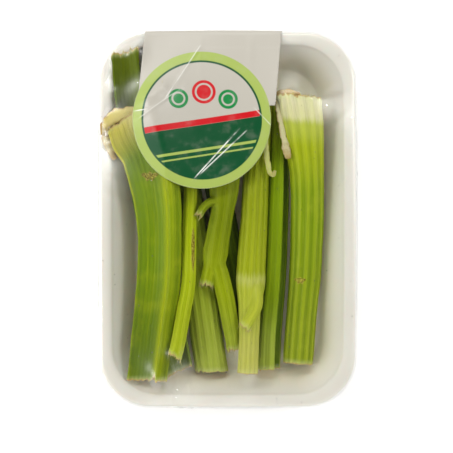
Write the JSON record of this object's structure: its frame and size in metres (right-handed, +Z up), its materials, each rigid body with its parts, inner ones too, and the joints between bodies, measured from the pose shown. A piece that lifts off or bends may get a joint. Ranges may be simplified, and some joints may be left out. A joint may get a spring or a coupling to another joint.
{
  "type": "film-wrapped tray of celery stalks",
  "caption": "Shallow foam tray of cut celery stalks under clear stretch film, with a round-and-tab sticker folded over one end.",
  "frame": {"origin": "under the middle of the whole pack, on the surface that it lies on", "axes": "+Z up; +Y towards the end of the tray that the sticker folds over, where the stalks' root ends lie; +X to the right seen from above with +Y away"},
  "size_m": [0.1458, 0.213, 0.0376],
  "materials": {
    "foam": "expanded foam, matt",
    "stalk_green": "fresh celery, moist",
    "stalk_pale_green": "fresh pale celery, moist",
    "film": "clear stretch film, glossy",
    "label_paper": "coated sticker paper"
  },
  "bodies": {
    "root": {"tray": "foam", "stalk_back_left": "stalk_green", "stalk_under_middle": "stalk_green", "stalk_hidden": "stalk_green", "stalk_green": "stalk_green", "stalk_ribbed_right": "stalk_green", "stalk_broad_left": "stalk_green", "stalk_thin": "stalk_pale_green", "stalk_forked": "stalk_pale_green", "stalk_pale": "stalk_pale_green", "film": "film", "label": "label_paper"}
  },
  "joints": []
}
